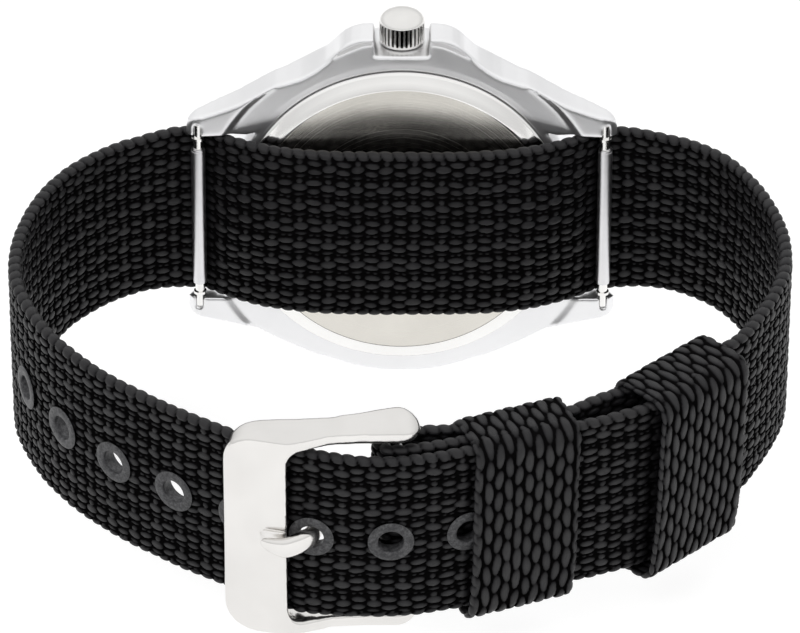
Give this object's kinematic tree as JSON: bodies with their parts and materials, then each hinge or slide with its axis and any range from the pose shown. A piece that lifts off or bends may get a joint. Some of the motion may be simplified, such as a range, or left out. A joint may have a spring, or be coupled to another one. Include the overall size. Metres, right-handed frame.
{
  "type": "wristwatch",
  "caption": "Round steel quartz wristwatch, buckled on a one-piece webbing strap with eyelets, pin buckle and two keepers.",
  "frame": {"origin": "middle of the bounding box at its lowest point, the surface that the watch stands on", "axes": "+X towards 12 o'clock along the lugs, +Y out of the dial, +Z towards 3 o'clock, out of the crown"},
  "size_m": [0.0796, 0.0652, 0.0411],
  "materials": {
    "case_steel": "satin case steel with polished edges",
    "back_steel": "circular brushed disc inside a polished ring",
    "crown_steel": "polished",
    "buckle_steel": "soft polished",
    "bar_steel": "drawn steel",
    "webbing": "coarse woven nylon",
    "thread": "sewing thread",
    "eyelet_metal": "black oxide",
    "glass": "clear mineral glass",
    "dial_black": "matt dial",
    "marker": "luminous paint",
    "hand_white": "painted hands",
    "second_red": "painted hand",
    "seal": "rubber",
    "nylon_white": "moulded plastic",
    "movement_brass": "stamped",
    "movement_steel": "stamped",
    "board_green": "circuit board",
    "copper_wire": "enamelled wire"
  },
  "bodies": {
    "watch": {"mid_case": "case_steel", "bezel": "case_steel", "crystal": "glass", "crystal_gasket": "nylon_white", "chapter_ring": "dial_black", "dial": "dial_black", "hour_markers": "marker", "case_back": "back_steel", "case_back_gasket": "seal", "crown_tube": "movement_steel", "movement_holder": "nylon_white", "main_plate": "movement_brass", "train_bridge": "movement_brass", "circuit_board": "board_green", "battery": "movement_steel", "battery_clamp": "movement_steel", "coil_core": "movement_steel", "coil_winding": "copper_wire", "stator": "movement_steel", "quartz_can": "movement_steel", "movement_screws": "movement_steel", "strap_webbing": "webbing", "strap_eyelets": "eyelet_metal", "fold_stitching": "thread", "keeper_fixed": "webbing", "lug_bar_12": "bar_steel", "lug_bar_12_spring": "bar_steel", "lug_bar_6": "bar_steel", "lug_bar_6_spring": "bar_steel"},
    "rotor": {"rotor": "movement_steel"},
    "fifth_wheel": {"fifth_wheel": "movement_brass"},
    "second_wheel": {"second_wheel": "movement_brass", "second_hand": "second_red"},
    "third_wheel": {"third_wheel": "movement_brass"},
    "centre_wheel": {"centre_wheel": "movement_brass", "minute_hand": "hand_white"},
    "minute_wheel": {"minute_wheel": "movement_brass"},
    "setting_wheel": {"setting_wheel": "movement_brass"},
    "hour_wheel": {"hour_wheel": "movement_brass", "hour_hand": "hand_white"},
    "clutch": {"clutch_wheel": "movement_steel"},
    "crown": {"crown": "crown_steel", "stem": "movement_steel", "crown_gasket": "seal"},
    "setting_lever": {"setting_lever": "movement_steel"},
    "keeper_sliding": {"keeper_sliding": "webbing"},
    "buckle": {"buckle_frame": "buckle_steel", "buckle_bar": "bar_steel", "buckle_bar_spring": "bar_steel"},
    "tang": {"buckle_tang": "buckle_steel"},
    "lug_bar_12_pin_upper": {"lug_bar_12_pin_upper": "bar_steel"},
    "lug_bar_12_pin_lower": {"lug_bar_12_pin_lower": "bar_steel"},
    "lug_bar_6_pin_upper": {"lug_bar_6_pin_upper": "bar_steel"},
    "lug_bar_6_pin_lower": {"lug_bar_6_pin_lower": "bar_steel"},
    "buckle_bar_pin_upper": {"buckle_bar_pin_upper": "bar_steel"},
    "buckle_bar_pin_lower": {"buckle_bar_pin_lower": "bar_steel"}
  },
  "joints": [
    {"name": "crown_turn", "type": "hinge", "parent": "watch", "child": "clutch", "pos_m": [0.00007, 0.02718, 0.02535], "axis": [0, 0, 1], "continuous": true},
    {"name": "crown_pull", "type": "slide", "parent": "clutch", "child": "crown", "axis": [0, 0, 1], "range_m": [0, 0.001]},
    {"name": "setting_lever_swing", "type": "hinge", "parent": "watch", "child": "setting_lever", "pos_m": [0.00307, 0.02658, 0.02895], "axis": [0, 1, 0], "range_deg": [0, 22.62]},
    {"name": "seconds", "type": "hinge", "parent": "watch", "child": "second_wheel", "pos_m": [0.00007, 0.02558, 0.0192], "axis": [0, -1, 0], "continuous": true},
    {"name": "rotor_spin", "type": "hinge", "parent": "watch", "child": "rotor", "pos_m": [0.00027, 0.02558, 0.01443], "axis": [0, -1, 0], "continuous": true},
    {"name": "fifth_wheel_turn", "type": "hinge", "parent": "watch", "child": "fifth_wheel", "pos_m": [-0.00108, 0.02558, 0.01604], "axis": [0, -1, 0], "continuous": true},
    {"name": "third_wheel_turn", "type": "hinge", "parent": "watch", "child": "third_wheel", "pos_m": [0.00335, 0.02558, 0.02008], "axis": [0, -1, 0], "continuous": true},
    {"name": "minute_hand_turn", "type": "hinge", "parent": "watch", "child": "centre_wheel", "pos_m": [0.00007, 0.02558, 0.0192], "axis": [0, -1, 0], "continuous": true},
    {"name": "minute_wheel_turn", "type": "hinge", "parent": "watch", "child": "minute_wheel", "pos_m": [0.00007, 0.02558, 0.0212], "axis": [0, -1, 0], "continuous": true},
    {"name": "setting_wheel_turn", "type": "hinge", "parent": "watch", "child": "setting_wheel", "pos_m": [0.00007, 0.02558, 0.0235], "axis": [0, -1, 0], "continuous": true},
    {"name": "hour_hand_turn", "type": "hinge", "parent": "watch", "child": "hour_wheel", "pos_m": [0.00007, 0.02558, 0.0192], "axis": [0, -1, 0], "continuous": true},
    {"name": "keeper_slide", "type": "hinge", "parent": "watch", "child": "keeper_sliding", "pos_m": [0.00991, 0.003, 0.01758], "axis": [0, -0.0785, 0.9969], "range_deg": [-3, 4]},
    {"name": "buckle_tilt", "type": "hinge", "parent": "watch", "child": "buckle", "pos_m": [-0.00053, -0.02756, 0.01517], "axis": [0, -0.0785, 0.9969], "range_deg": [0, 2.5]},
    {"name": "tang_lift", "type": "hinge", "parent": "buckle", "child": "tang", "pos_m": [-0.00053, -0.02756, 0.01517], "axis": [0, -0.0785, 0.9969], "range_deg": [0, 1]},
    {"name": "lug_bar_12_upper_plunge", "type": "slide", "parent": "watch", "child": "lug_bar_12_pin_upper", "axis": [0, 0, -1], "range_m": [0, 0.00085], "stiffness_N_per_m": 400, "springref_m": -0.002, "deforming": ["lug_bar_12_spring"]},
    {"name": "lug_bar_12_lower_plunge", "type": "slide", "parent": "watch", "child": "lug_bar_12_pin_lower", "axis": [0, 0, 1], "range_m": [0, 0.00085], "stiffness_N_per_m": 400, "springref_m": -0.002},
    {"name": "lug_bar_6_upper_plunge", "type": "slide", "parent": "watch", "child": "lug_bar_6_pin_upper", "axis": [0, 0, -1], "range_m": [0, 0.00085], "stiffness_N_per_m": 400, "springref_m": -0.002, "deforming": ["lug_bar_6_spring"]},
    {"name": "lug_bar_6_lower_plunge", "type": "slide", "parent": "watch", "child": "lug_bar_6_pin_lower", "axis": [0, 0, 1], "range_m": [0, 0.00085], "stiffness_N_per_m": 400, "springref_m": -0.002},
    {"name": "buckle_bar_upper_plunge", "type": "slide", "parent": "buckle", "child": "buckle_bar_pin_upper", "axis": [0, 0.0785, -0.9969], "range_m": [0, 0.00085], "stiffness_N_per_m": 400, "springref_m": -0.002, "deforming": ["buckle_bar_spring"]},
    {"name": "buckle_bar_lower_plunge", "type": "slide", "parent": "buckle", "child": "buckle_bar_pin_lower", "axis": [0, -0.0785, 0.9969], "range_m": [0, 0.00085], "stiffness_N_per_m": 400, "springref_m": -0.002}
  ],
  "couplings": [
    {"joint": "setting_lever_swing", "follows": "crown_pull", "rad_per_m": 394.71},
    {"joint": "rotor_spin", "follows": "seconds", "ratio": 30},
    {"joint": "fifth_wheel_turn", "follows": "seconds", "ratio": -5},
    {"joint": "third_wheel_turn", "follows": "seconds", "ratio": -0.13333},
    {"joint": "minute_hand_turn", "follows": "seconds", "ratio": 0.016667},
    {"joint": "minute_wheel_turn", "follows": "seconds", "ratio": -0.0055556},
    {"joint": "setting_wheel_turn", "follows": "seconds", "ratio": 0.010417},
    {"joint": "hour_hand_turn", "follows": "seconds", "ratio": 0.0013889}
  ]
}
